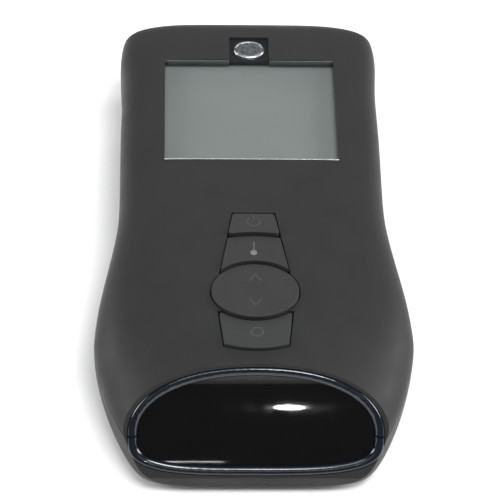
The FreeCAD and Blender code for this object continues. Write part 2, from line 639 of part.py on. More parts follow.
# ---- battery door ----
def battery_door(outer, inner):
    wall = outer.cut(inner.common(slab(WALL, SEAM_Z)))
    half = DOOR_HALF - DOOR_GAP
    door = wall.common(wide_box(half, DOOR_NEAR_Y + DOOR_GAP, FAR, DOOR_RECESS, DOOR_LIP_HEIGHT))
    lip_start = TAIL_Y - BAY_TAIL_MARGIN + BAY_WALL + DOOR_GAP
    door = door.cut(wide_box(FAR, -FAR, lip_start, WALL, FAR))
    low = WALL + DOOR_GAP
    tongues = []
    for y in (DOOR_NEAR_Y + 1.5, BAY_FAR_Y - DOOR_TRAVEL_ROOM - TONGUE_LENGTH):
        for side in (-1, 1):
            root, tip = side * (half - TONGUE_ROOT), side * (DOOR_HALF + TONGUE_OVERLAP)
            edge = side * half
            tongues.append(box(min(root, tip), max(root, tip), y, y + TONGUE_LENGTH, low, low + TONGUE_THICK))
            tongues.append(box(min(root, edge), max(root, edge), y, y + TONGUE_LENGTH, WALL - 0.2, low + 0.2))
    door = fuse([door] + tongues)
    first = BAY_FAR_Y - GRIP_RIBS * GRIP_PITCH
    grooves = [wide_box(GRIP_WIDTH / 2, first + i * GRIP_PITCH, first + i * GRIP_PITCH + GRIP_PITCH / 2,
                        -1, DOOR_RECESS + GRIP_DEPTH) for i in range(GRIP_RIBS)]
    return door.cut(grooves)


# ---- cells and contacts ----
def cell(index):
    y, side = CELL_YS[index], (1, -1)[index]
    start = -side * (BAY_HALF - CONTACT_THICK - SPRING_LENGTH)
    axis = V(side, 0, 0)
    can = Part.makeCylinder(CELL_RADIUS, CELL_LENGTH - CELL_NUB, V(start, y, CELL_Z), axis)
    can = can.makeFillet(0.5, [e for e in can.Edges if isinstance(e.Curve, Part.Circle)])
    nub = Part.makeCylinder(CELL_NUB_RADIUS, CELL_NUB + 0.5,
                            V(start + side * (CELL_LENGTH - CELL_NUB - 0.5), y, CELL_Z), axis)
    return fuse([can, nub])


def coil():
    steps = SPRING_TURNS * COIL_POINTS
    turn, rise = 2 * math.pi / COIL_POINTS, (SPRING_LENGTH - 2 * SPRING_WIRE) / steps
    path = Part.BSplineCurve()
    path.interpolate([V(SPRING_RADIUS * math.cos(i * turn), SPRING_RADIUS * math.sin(i * turn), i * rise)
                      for i in range(steps + 1)])
    start = path.tangent(path.FirstParameter)[0]
    circle = Part.Wire([Part.Circle(V(SPRING_RADIUS, 0, 0), start, SPRING_WIRE).toShape()])
    return Part.Wire([path.toShape()]).makePipeShell([circle], True, True)


def contact_springs():
    springs = []
    for index in (0, 1):
        side = (1, -1)[index]
        end = side * (SPRING_WIRE + CONTACT_THICK - BAY_HALF)
        spring = coil()
        spring.Placement = FreeCAD.Placement(V(end, CELL_YS[index], CELL_Z),
                                             FreeCAD.Rotation(V(0, 1, 0), 90 * side))
        springs.append(spring)
    return Part.makeCompound(springs)


def contact_plates():
    inner, outer = BAY_HALF - CONTACT_THICK, BAY_HALF
    low, high = CELL_Z - CONTACT_WIDTH / 2, CELL_Z + CONTACT_WIDTH / 2
    half, tab = CONTACT_WIDTH / 2, CONTACT_TAB_WIDTH / 2
    left = [box(-outer, -inner, y - half, y + half, low, high).fuse(
        box(-outer, -inner, y - tab, y + tab, high, BOARD_BELOW_Z)).removeSplitter() for y in CELL_YS]
    link = box(inner, outer, CELL_YS[0] - half, CELL_YS[1] + half, low, high)
    return Part.makeCompound(left + [link])


# ---- boards ----
def main_board():
    board = wide_box(BOARD_HALF, NOSE_Y + BOARD_NOSE_MARGIN, TAIL_Y - BOARD_TAIL_MARGIN, BOARD_BELOW_Z, BOARD_Z)
    holes = [post(x, y, BOARD_BELOW_Z - 1, BOARD_Z + 1, BOSS_RADIUS + BOSS_CLEARANCE)
             for x, y in HOUSING_SCREWS]
    holes += [post(x, y, BOARD_BELOW_Z - 1, BOARD_Z + 1, SMALL_SCREW_RADIUS + 0.15) for x, y in BOARD_SCREWS]
    return board.cut(holes)


def screw(x, y, seat, grip, radius, head_radius, head):
    shank = post(x, y, seat - 0.01, seat + grip, radius)
    cap = post(x, y, seat - head, seat, head_radius)
    slot = wide_box(head_radius * 0.62, -0.3, 0.3, seat - head - 1, seat - head * 0.45)
    cross = [slot.translated(V(x, y, 0)), box(-0.3, 0.3, -head_radius * 0.62, head_radius * 0.62,
             seat - head - 1, seat - head * 0.45).translated(V(x, y, 0))]
    return fuse([cap, shank]).cut(cross)


def housing_screws():
    grip = SEAM_Z - SCREW_SEAT + SCREW_GRIP
    return Part.makeCompound([screw(x, y, SCREW_SEAT, grip, SCREW_RADIUS, SCREW_HEAD_RADIUS, SCREW_HEAD)
                              for x, y in HOUSING_SCREWS])


def board_screws():
    return Part.makeCompound([screw(x, y, BOARD_BELOW_Z, BOARD_THICK + SMALL_GRIP, SMALL_SCREW_RADIUS,
                                    SMALL_HEAD_RADIUS, SMALL_HEAD) for x, y in BOARD_SCREWS])


def hung_chip(x, y, width, length, height):
    return box(x - width / 2, x + width / 2, y - length / 2, y + length / 2, BOARD_BELOW_Z - height, BOARD_BELOW_Z)


def passives():
    rows = [hung_chip(x, DISPLAY_NEAR_Y - 4 - 3 * i, 1.6, 0.9, 0.9) for i in range(5) for x in (-14, -8, 8, 14)]
    return Part.makeCompound(rows)


def capacitors():
    y = KEY_FAR_Y - 4
    return Part.makeCompound([post(x, y, BOARD_BELOW_Z - 3.4, BOARD_BELOW_Z, 3.0) for x in (-20, 20)])


# ---- sensor unit ----
def sensor_board():
    board = box(-SENSOR_HALF, SENSOR_HALF, SENSOR_LOW, SENSOR_HIGH, SENSOR_N - SENSOR_THICK, SENSOR_N)
    holes = [Part.makeCylinder(SMALL_SCREW_RADIUS + 0.15, SENSOR_THICK + 2,
                               V(side * SENSOR_POST_X, SENSOR_POST_V, SENSOR_N - SENSOR_THICK - 1))
             for side in (-1, 1)]
    return lean_back(board.cut(holes))


def sensor_screws():
    seat = SENSOR_N - SENSOR_THICK
    pair = [screw(side * SENSOR_POST_X, SENSOR_POST_V, seat, SENSOR_THICK + SMALL_GRIP, SMALL_SCREW_RADIUS,
                  SMALL_HEAD_RADIUS, SMALL_HEAD) for side in (-1, 1)]
    return lean_back(Part.makeCompound(pair))


def lens_barrel():
    base = V(0, SENSOR_AXIS, SENSOR_N)
    tube = Part.makeCylinder(BARREL_RADIUS, BARREL_LENGTH, base)
    return lean_back(tube.cut(Part.makeCylinder(BARREL_RADIUS - BARREL_WALL, BARREL_LENGTH + 1, base)))


def collecting_lens():
    middle = SENSOR_N + BARREL_LENGTH - LENS_SETBACK - LENS_THICK / 2
    offset = LENS_BULGE_RADIUS - LENS_THICK / 2
    disc = Part.makeCylinder(BARREL_RADIUS - BARREL_WALL - SCREW_FIT, LENS_THICK,
                             V(0, SENSOR_AXIS, middle - LENS_THICK / 2))
    for side in (-1, 1):
        disc = disc.common(Part.makeSphere(LENS_BULGE_RADIUS, V(0, SENSOR_AXIS, middle - side * offset)))
    return lean_back(disc)


def photodiode():
    half = DIODE_SIDE / 2
    chip = box(-half, half, SENSOR_AXIS - half, SENSOR_AXIS + half, SENSOR_N, SENSOR_N + DIODE_HEIGHT)
    return lean_back(chip)


def emitter_leds():
    leds = []
    for x in LED_PLACES:
        base = V(x, SENSOR_AXIS, SENSOR_N)
        tip = V(x, SENSOR_AXIS, SENSOR_N + LED_LENGTH - LED_RADIUS)
        leds.append(fuse([Part.makeCylinder(LED_RADIUS, LED_LENGTH - LED_RADIUS, base),
                          Part.makeSphere(LED_RADIUS, tip),
                          Part.makeCylinder(LED_RADIUS + 0.4, LED_FLANGE, base)]))
    return lean_back(Part.makeCompound(leds))


def leaning_point(v, n):
    along, across = math.sin(LEAN_ANGLE), math.cos(LEAN_ANGLE)
    return (MOUTH_Y + v * along - n * across, SEAM_Z + v * across + n * along)


def ribbon_parts():
    """Short flat ribbon from the sensor board's socket up to the socket under the main board."""
    back = SENSOR_N - SENSOR_THICK
    middle = back - SOCKET_HEIGHT / 2
    start = SOCKET_V + SOCKET_LENGTH / 2
    low = lean_back(box(-SOCKET_HALF, SOCKET_HALF, SOCKET_V - SOCKET_LENGTH / 2, start, back - SOCKET_HEIGHT, back))
    socket_z = BOARD_BELOW_Z - SOCKET_HEIGHT
    y, z = leaning_point(start, middle)
    y_top = y + (socket_z - z) * math.tan(LEAN_ANGLE)
    high = wide_box(SOCKET_HALF, y_top - SOCKET_LENGTH / 2, y_top + SOCKET_LENGTH / 2, socket_z, BOARD_BELOW_Z)
    ribbon = lean_back(box(-RIBBON_HALF, RIBBON_HALF, start, start + FAR / 4,
                           middle - RIBBON_THICK / 2, middle + RIBBON_THICK / 2)).common(slab(-FAR, socket_z))
    return Part.makeCompound([low, high]), ribbon


# ---- write every piece ----
def main():
    os.makedirs("parts", exist_ok=True)
    outer, inner = body(0), body(WALL)
    lip_outer = body(WALL / 2 + LIP_CLEARANCE)
    behind_mouth = lean_back(box(-FAR, FAR, -FAR, FAR, -FAR, BULKHEAD_BACK - 0.5))
    lip_ring = lip_outer.cut(inner).common(slab(SEAM_Z - 0.5, SEAM_Z + LIP_HEIGHT)).common(behind_mouth)
    groove = body(WALL / 2).cut(body(WALL + 0.5)).common(slab(SEAM_Z - 1, SEAM_Z + LIP_HEIGHT + LIP_CLEARANCE))
    line_ring = outer.cut(body(LINE_DEPTH)).common(slab(SEAM_Z - LINE_WIDTH / 2, SEAM_Z + LINE_WIDTH / 2))
    trim = nose_trim()
    split = slab(SEAM_Z - TRIM_SPLIT / 2, SEAM_Z + TRIM_SPLIT / 2)
    sockets, ribbon = ribbon_parts()
    panel_low = PANEL_Z - PANEL_THICK
    parts = {
        "upper_shell": upper_shell(outer, inner, groove).cut(line_ring),
        "lower_shell": lower_shell(outer, inner, lip_ring).cut(line_ring),
        "upper_nose_trim": trim.common(slab(SEAM_Z, TOP_Z + 5)).cut(split),
        "lower_nose_trim": trim.common(slab(-5, SEAM_Z)).cut(split),
        "nose_window": nose_window(),
        "window_gasket": window_gasket(),
        "display_window": display_frame(WINDOW_MARGIN, PANEL_Z, WINDOW_Z),
        "display_seal": display_seal(),
        "lcd_panel": display_frame(WINDOW_MARGIN, panel_low, PANEL_Z),
        "lcd_backlight": display_frame(WINDOW_MARGIN - BACKLIGHT_INSET, BOARD_Z, panel_low),
        "lcd_contact_strips": strips(),
        "badge_plate": tab_outline(TAB_FIT, TOP_Z - TAB_DEPTH, TOP_Z - TAB_DEPTH + TAB_PLATE),
        "badge": badge(),
        "power_key": power_key(),
        "temperature_key": temperature_key(),
        "rocker_key": rocker_key(),
        "mode_key": mode_key(),
        "power_dome": dome(POWER_STEM_Y),
        "temperature_dome": dome(TEMPERATURE_STEM_Y),
        "mode_dome": dome(MODE_STEM_Y),
        "rocker_domes": Part.makeCompound([dome(ROCKER_Y + side * ROCKER_LEG_OFFSET) for side in (-1, 1)]),
        "main_board": main_board(),
        "microcontroller": hung_chip(0, ROCKER_Y, 12, 12, 1.6),
        "crystal": hung_chip(11, ROCKER_Y, 3.2, 5.0, 1.2),
        "buzzer": post(-19, ROCKER_Y, BOARD_BELOW_Z - 3.6, BOARD_BELOW_Z, 6.0),
        "capacitors": capacitors(),
        "chip_resistors": passives(),
        "board_screws": board_screws(),
        "housing_screws": housing_screws(),
        "sensor_board": sensor_board(),
        "sensor_screws": sensor_screws(),
        "lens_barrel": lens_barrel(),
        "collecting_lens": collecting_lens(),
        "photodiode": photodiode(),
        "emitter_leds": emitter_leds(),
        "ribbon_sockets": sockets,
        "ribbon_cable": ribbon,
        "cell_1": cell(0),
        "cell_2": cell(1),
        "contact_springs": contact_springs(),
        "contact_plates": contact_plates(),
        "battery_door": battery_door(outer, inner),
    }
    for name, shape in parts.items():
        solids = shape.Solids
        print(name, len(solids), "solids", shape.isValid(), round(shape.Volume, 1))
        shape.exportStep("parts/" + name + ".step")


main()
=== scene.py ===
"""Looks of a hand-held lensmeter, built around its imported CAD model.

Everything is in metres in the CAD frame: x across, y towards the tail, z up, and the case
lies with its flat back on z = 0. Lengths written in millimetres are multiplied by MM.
"""
import json
import math

import bpy
from mathutils import Matrix, Vector
from mathutils.bvhtree import BVHTree


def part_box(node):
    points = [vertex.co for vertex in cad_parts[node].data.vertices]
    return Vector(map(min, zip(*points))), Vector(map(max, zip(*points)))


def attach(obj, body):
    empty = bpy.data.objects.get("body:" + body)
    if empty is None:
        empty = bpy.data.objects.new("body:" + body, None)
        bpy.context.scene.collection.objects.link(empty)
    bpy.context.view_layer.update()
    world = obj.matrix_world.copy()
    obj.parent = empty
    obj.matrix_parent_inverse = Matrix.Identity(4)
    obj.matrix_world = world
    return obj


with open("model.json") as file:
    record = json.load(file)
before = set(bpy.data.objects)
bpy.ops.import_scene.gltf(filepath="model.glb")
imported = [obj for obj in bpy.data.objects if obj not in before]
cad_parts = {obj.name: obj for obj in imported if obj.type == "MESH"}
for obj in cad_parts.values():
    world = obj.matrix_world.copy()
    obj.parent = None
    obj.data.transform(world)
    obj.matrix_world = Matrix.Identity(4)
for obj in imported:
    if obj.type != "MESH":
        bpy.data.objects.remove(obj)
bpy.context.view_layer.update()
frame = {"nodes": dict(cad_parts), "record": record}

MM = 0.001
UP = Vector((0, 0, 1))

# ---------------------------------------------------------------- camera

CAMERA_PLACE = Vector((-23.14, -411.46, 516.93)) * MM
VIEW_DIRECTION = Vector((0.0356, 0.6328, -0.7735)).normalized()
CAMERA_ROLL = math.radians(2.73)
FOCAL_LENGTH = 165.0
SENSOR_WIDTH = 36.0
FRAME_SHIFT = (-0.0023, -0.001)
CLIP_START, CLIP_END = 0.02, 30


def make_camera():
    level = VIEW_DIRECTION.cross(UP).normalized()
    upright = level.cross(VIEW_DIRECTION)
    right = math.cos(CAMERA_ROLL) * level + math.sin(CAMERA_ROLL) * upright
    top = right.cross(VIEW_DIRECTION)
    data = bpy.data.cameras.new("camera")
    data.lens = FOCAL_LENGTH
    data.sensor_width = SENSOR_WIDTH
    data.shift_x, data.shift_y = FRAME_SHIFT
    data.clip_start, data.clip_end = CLIP_START, CLIP_END
    camera = bpy.data.objects.new("camera", data)
    columns = Matrix((right, top, -VIEW_DIRECTION)).transposed()
    camera.matrix_world = Matrix.Translation(CAMERA_PLACE) @ columns.to_4x4()
    bpy.context.scene.collection.objects.link(camera)
    bpy.context.scene.camera = camera


make_camera()

# ---------------------------------------------------------------- material tools


class Finish:
    """A Principled material with object-space textures. Sizes of detail are in metres."""

    def __init__(self, name, **sockets):
        self.material = bpy.data.materials.new(name)
        self.material.use_nodes = True
        self.tree = self.material.node_tree
        self.shader = self.tree.nodes["Principled BSDF"]
        self.place = self.add("TexCoord").outputs["Object"]
        self.normal = None
        for socket, value in sockets.items():
            self.shader.inputs[socket.replace("_", " ")].default_value = value

    def add(self, kind):
        return self.tree.nodes.new("ShaderNode" + kind)

    def link(self, output, socket):
        self.tree.links.new(output, socket)

    def stretched(self, x=1, y=1, z=1):
        node = self.add("Mapping")
        node.inputs["Scale"].default_value = (x, y, z)
        self.link(self.place, node.inputs["Vector"])
        return node.outputs["Vector"]

    def noise(self, size, detail=2.0, place=None):
        node = self.add("TexNoise")
        node.inputs["Scale"].default_value = 1 / size
        node.inputs["Detail"].default_value = detail
        self.link(place or self.place, node.inputs["Vector"])
        return node.outputs[0]

    def bands(self, size, direction):
        """Waves of that length: the wave texture has 20 / tau of them to a unit of scale."""
        node = self.add("TexWave")
        node.bands_direction = direction
        node.inputs["Scale"].default_value = 1 / size / 20 * math.tau
        self.link(self.place, node.inputs["Vector"])
        return node.outputs["Fac"]

    def weave(self, size):
        return self.product(self.bands(size, "X"), self.bands(size, "Y"))

    def along(self, axis):
        node = self.add("SeparateXYZ")
        self.link(self.place, node.inputs[0])
        return node.outputs[axis]

    def mapped(self, value, low, high, start=0.3, end=0.7):
        """The value's range from start to end, stretched over low to high."""
        node = self.add("MapRange")
        limits = {"From Min": start, "From Max": end, "To Min": low, "To Max": high}
        for socket, number in limits.items():
            node.inputs[socket].default_value = number
        self.link(value, node.inputs["Value"])
        return node.outputs["Result"]

    def product(self, first, second):
        node = self.add("Math")
        node.operation = "MULTIPLY"
        self.link(first, node.inputs[0])
        self.link(second, node.inputs[1])
        return node.outputs[0]

    def colour(self, value, stops, sharp=False):
        """Colour by value: stops are (position, (r, g, b))."""
        ramp = self.add("ValToRGB")
        ramp.color_ramp.interpolation = "CONSTANT" if sharp else "LINEAR"
        elements = ramp.color_ramp.elements
        while len(elements) < len(stops):
            elements.new(0.5)
        for element, (position, rgb) in zip(elements, stops):
            element.position = position
            element.color = (*rgb, 1)
        self.link(value, ramp.inputs[0])
        return ramp.outputs["Color"]

    def patches(self, size, first, second, detail=2.0):
        """One colour running into another in soft patches."""
        return self.colour(self.noise(size, detail), [(0.3, first), (0.7, second)])

    def blended(self, amount, first, second):
        node = self.add("Mix")
        node.data_type = "RGBA"
        for socket, output in ((0, amount), (6, first), (7, second)):
            self.link(output, node.inputs[socket])
        return node.outputs[2]

    def paint(self, output):
        self.link(output, self.shader.inputs["Base Color"])

    def mottle(self, rgb, spread, size, detail=3.0):
        """Base colour that wanders by the part `spread` either way."""
        darker = tuple(c * (1 - spread) for c in rgb)
        lighter = tuple(min(c * (1 + spread), 1) for c in rgb)
        self.paint(self.colour(self.noise(size, detail), [(0.35, darker), (0.65, lighter)]))

    def rough(self, low, high, size, detail=3.0, place=None):
        value = self.mapped(self.noise(size, detail, place), low, high)
        self.link(value, self.shader.inputs["Roughness"])

    def relief(self, height, depth):
        """Bump of that depth, in metres. Each further call adds a layer to it."""
        bump = self.add("Bump")
        bump.inputs["Strength"].default_value = 1
        bump.inputs["Distance"].default_value = depth
        self.link(height, bump.inputs["Height"])
        if self.normal:
            self.link(self.normal, bump.inputs["Normal"])
        self.normal = bump.outputs["Normal"]
        self.link(self.normal, self.shader.inputs["Normal"])


# ---------------------------------------------------------------- materials


PIXEL_PITCH = 0.42 * MM
GLASS_WEAVE = 0.6 * MM
RIBBON_PITCH = 0.5 * MM


def grained_plastic(name, rgb):
    """Matte moulded plastic with a fine spark-eroded grain and a soft-touch bloom."""
    made = Finish(name, Sheen_Weight=0.05, Sheen_Roughness=0.45, Specular_IOR_Level=0.22)
    made.mottle(rgb, 0.03, 9 * MM, 4)
    made.rough(0.50, 0.62, 7 * MM)
    made.relief(made.noise(0.9 * MM, 2), 0.006 * MM)
    made.relief(made.noise(0.24 * MM, 3), 0.016 * MM)
    return made.material


def gloss_plastic(name, rgb, rough, coat, ripple):
    """Polished dark plastic: a slight flow ripple and wipe marks along it."""
    made = Finish(name, Coat_Weight=coat, Coat_Roughness=0.05, Specular_IOR_Level=0.5)
    made.mottle(rgb, 0.12, 9 * MM)
    wipes = made.stretched(1, 0.25, 1)
    made.rough(rough, rough * 1.9, 3.2 * MM, 5, wipes)
    made.relief(made.noise(5 * MM, 1), ripple)
    made.relief(made.noise(0.5 * MM, 2), ripple * 0.08)
    return made.material


def rubber():
    made = Finish("moulded_rubber", Specular_IOR_Level=0.3)
    made.mottle((0.018, 0.018, 0.019), 0.15, 2 * MM)
    made.rough(0.68, 0.86, 1.2 * MM)
    made.relief(made.noise(0.18 * MM, 3), 0.02 * MM)
    return made.material


def clear_acrylic():
    made = Finish("clear_acrylic", Alpha=0.16, Specular_IOR_Level=0.6)
    made.mottle((0.30, 0.33, 0.33), 0.05, 18 * MM)
    made.rough(0.04, 0.12, 6 * MM, 5)
    made.relief(made.noise(1.1 * MM, 2), 0.0008 * MM)
    return made.material


def lcd_face():
    """A blank reflective display: a silver-green ground with the pixel pitch just showing."""
    made = Finish("lcd_face", Specular_IOR_Level=0.35)
    ground = made.patches(30 * MM, (0.155, 0.177, 0.169), (0.166, 0.185, 0.177))
    pixels = made.mapped(made.weave(PIXEL_PITCH), 0.25, 0.6, 0, 1)
    shade = made.patches(0.12 * MM, (0.141, 0.162, 0.154), (0.172, 0.191, 0.183))
    made.paint(made.blended(pixels, ground, shade))
    made.rough(0.34, 0.5, 0.5 * MM)
    made.relief(made.noise(0.1 * MM, 2), 0.003 * MM)
    return made.material


def white_plastic():
    made = Finish("diffuser_white", Subsurface_Weight=0.1, Subsurface_Scale=0.001)
    made.mottle((0.78, 0.79, 0.77), 0.03, 5 * MM)
    made.rough(0.4, 0.55, 2 * MM)
    made.relief(made.noise(0.2 * MM, 2), 0.006 * MM)
    return made.material


ALONG_X = (0.15, 1, 1)
ALONG_Z = (1, 1, 0.2)


def brushed_metal(name, rgb, low, high, way):
    """Metal with fine drawing lines along one way and a little tarnish."""
    made = Finish(name, Metallic=1.0)
    made.mottle(rgb, 0.10, 1.6 * MM, 4)
    lines = made.stretched(*way)
    made.rough(low, high, 0.12 * MM, 3, lines)
    made.relief(made.noise(0.07 * MM, 2, lines), 0.003 * MM)
    return made.material


def circuit_board():
    """Green solder mask over copper tracks, with the glass weave faintly through it."""
    made = Finish("circuit_board", Coat_Weight=0.4, Coat_Roughness=0.15)
    tracks = made.add("TexBrick")
    tracks.offset = 0.37
    settings = {
        "Color1": (0.006, 0.060, 0.022, 1), "Color2": (0.009, 0.075, 0.028, 1),
        "Mortar": (0.020, 0.125, 0.045, 1), "Mortar Size": 0.22 * MM,
        "Scale": 1.0, "Brick Width": 9 * MM, "Row Height": 1.6 * MM,
    }
    for socket, value in settings.items():
        tracks.inputs[socket].default_value = value
    made.link(made.place, tracks.inputs["Vector"])
    threads = made.mapped(made.weave(GLASS_WEAVE), 0.15, 0.4, 0, 1)
    mask = made.patches(3 * MM, (0.006, 0.055, 0.02), (0.010, 0.085, 0.03))
    made.paint(made.blended(threads, tracks.outputs["Color"], mask))
    made.rough(0.25, 0.4, 1 * MM)
    made.relief(tracks.outputs["Fac"], -0.02 * MM)
    return made.material


def chip_package():
    made = Finish("chip_package")
    made.mottle((0.014, 0.014, 0.015), 0.2, 0.6 * MM)
    made.rough(0.5, 0.7, 0.4 * MM)
    made.relief(made.noise(0.08 * MM, 3), 0.01 * MM)
    return made.material


def optic_glass():
    made = Finish("optic_glass", Alpha=0.35, Specular_IOR_Level=0.8,
                  Coat_Weight=1.0, Coat_Roughness=0.01)
    made.mottle((0.50, 0.46, 0.62), 0.06, 3 * MM)
    made.rough(0.01, 0.04, 2 * MM)
    return made.material


def led_epoxy():
    made = Finish("led_epoxy", Alpha=0.6, Coat_Weight=0.6)
    made.mottle((0.62, 0.66, 0.72), 0.06, 1 * MM)
    made.rough(0.06, 0.14, 1 * MM)
    return made.material


def ribbon_film():
    """Amber polyimide film with copper tracks under it."""
    made = Finish("ribbon_film", Coat_Weight=0.3)
    film = made.patches(2 * MM, (0.36, 0.13, 0.02), (0.46, 0.18, 0.03))
    copper = made.patches(1 * MM, (0.60, 0.28, 0.12), (0.72, 0.36, 0.17))
    tracks = made.bands(RIBBON_PITCH, "X")
    made.paint(made.blended(made.mapped(tracks, 0, 1, 0.45, 0.55), film, copper))
    made.rough(0.25, 0.4, 1 * MM)
    made.relief(tracks, 0.02 * MM)
    return made.material


def cell_jacket(node):
    """A plain two-colour battery sleeve with bare metal ends."""
    low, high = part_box(node)
    made = Finish("cell_jacket_" + node, Coat_Weight=0.35, Coat_Roughness=0.1)
    where = made.mapped(made.along("Y"), 0, 1, low[1], high[1])
    steel, band, sleeve = (0.56, 0.55, 0.53), (0.50, 0.22, 0.07), (0.05, 0.055, 0.065)
    stops = [(0, steel), (0.025, band), (0.30, sleeve), (0.965, steel)]
    jacket = made.colour(where, stops, sharp=True)
    wear = made.patches(1.5 * MM, (0.05, 0.05, 0.05), (0.12, 0.12, 0.12), detail=4)
    worn = made.mapped(made.noise(6 * MM, 5), 0, 0.35, 0.55, 0.8)
    made.paint(made.blended(worn, jacket, wear))
    made.rough(0.22, 0.38, 2 * MM)
    made.relief(made.noise(4 * MM, 2), 0.02 * MM)
    return made.material


def painted_highlight_edge():
    made = Finish("painted_highlight_edge", Specular_IOR_Level=0.7)
    # The light grey colour is a painted highlight: it stands in for the light that the window's
    # near bevel catches.
    made.mottle((0.38, 0.41, 0.41), 0.15, 4 * MM)
    made.rough(0.08, 0.2, 2 * MM)
    made.relief(made.noise(0.6 * MM, 2), 0.003 * MM)
    return made.material


def satin_edge_painted_light():
    """The display window's far edge, clear plastic over a dark wall: its slate grey is painted
    light, standing in for the light the far wall catches.
    """
    made = Finish("satin_edge_painted_light", Specular_IOR_Level=0.5)
    # The slate grey is painted light: it is lighter than the housing plastic to stand in for the
    # light that the far wall catches.
    made.mottle((0.072, 0.082, 0.086), 0.10, 6 * MM)
    made.rough(0.28, 0.4, 3 * MM)
    made.relief(made.noise(0.4 * MM, 2), 0.004 * MM)
    return made.material


def printed_ink(name, rgb):
    made = Finish(name, Specular_IOR_Level=0.35)
    made.mottle(rgb, 0.10, 0.5 * MM, 3)
    made.rough(0.42, 0.6, 0.4 * MM)
    made.relief(made.noise(0.12 * MM, 3), 0.008 * MM)
    return made.material


def pale_floor():
    made = Finish("pale_floor", Specular_IOR_Level=0.2)
    made.mottle((0.90, 0.90, 0.90), 0.01, 90 * MM)
    made.rough(0.7, 0.85, 20 * MM)
    made.relief(made.noise(1.5 * MM, 2), 0.01 * MM)
    return made.material


SLOT_LOOKS = {
    "housing_plastic": grained_plastic("soft_touch_plastic", (0.0186, 0.0183, 0.0182)),
    "trim_gloss": gloss_plastic("polished_trim", (0.005, 0.008, 0.013), 0.06, 0.3, 0.006 * MM),
    "window_gloss": gloss_plastic("filter_window", (0.0020, 0.0020, 0.0023), 0.02, 0.0,
                                  0.0012 * MM),
    "rubber": rubber(),
    "clear_window": clear_acrylic(),
    "lcd": lcd_face(),
    "white_plastic": white_plastic(),
    "badge_metal": brushed_metal("brushed_silver", (0.52, 0.55, 0.58), 0.18, 0.38, ALONG_X),
    "key_plastic": grained_plastic("key_plastic", (0.0265, 0.0265, 0.0265)),
    "spring_steel": brushed_metal("spring_steel", (0.62, 0.60, 0.56), 0.16, 0.32, ALONG_Z),
    "screw_steel": brushed_metal("blackened_steel", (0.12, 0.12, 0.125), 0.25, 0.45, ALONG_Z),
    "circuit_board": circuit_board(),
    "chip_package": chip_package(),
    "optic_glass": optic_glass(),
    "led_epoxy": led_epoxy(),
    "ribbon": ribbon_film(),
}
NODE_LOOKS = {
    "mode_key": grained_plastic("mode_key_plastic", (0.0280, 0.0302, 0.0298)),
    "badge_plate": gloss_plastic("badge_ground", (0.014, 0.015, 0.017), 0.14, 0.3, 0.004 * MM),
    "cell_1": cell_jacket("cell_1"),
    "cell_2": cell_jacket("cell_2"),
}


def dress_nodes():
    """Each CAD node takes its own look, or else the look of its material slot."""
    for part in frame["record"]["subparts"]:
        look = NODE_LOOKS.get(part["node"]) or SLOT_LOOKS[part["material_slot"]]
        for place in frame["nodes"][part["node"]].material_slots:
            place.material = look


dress_nodes()

# ---------------------------------------------------------------- raised marks


def bridge(one, two):
    """Faces between two closed rings of vertex numbers."""
    count = len(one)
    return [(one[k], one[(k + 1) % count], two[(k + 1) % count], two[k]) for k in range(count)]


def add_piece(name, points, faces, body, material):
    mesh = bpy.data.meshes.new(name)
    mesh.from_pydata(points, [], faces)
    mesh.materials.append(material)
    mesh.validate()
    for polygon in mesh.polygons:
        polygon.use_smooth = True
    piece = bpy.data.objects.new(name, mesh)
    bpy.context.scene.collection.objects.link(piece)
    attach(piece, body)


class Surface:
    """The upper face of a CAD node, to lay marks on. Its heights are in millimetres."""

    ABOVE = 1.0           # metres, well over the case

    def __init__(self, node):
        mesh = frame["nodes"][node].data
        points = [v.co.copy() for v in mesh.vertices]
        faces = [tuple(p.vertices) for p in mesh.polygons]
        self.tree = BVHTree.FromPolygons(points, faces)

    def height(self, x, y):
        hit = self.tree.ray_cast(Vector((x * MM, y * MM, self.ABOVE)), -UP)[0]
        return hit.z / MM


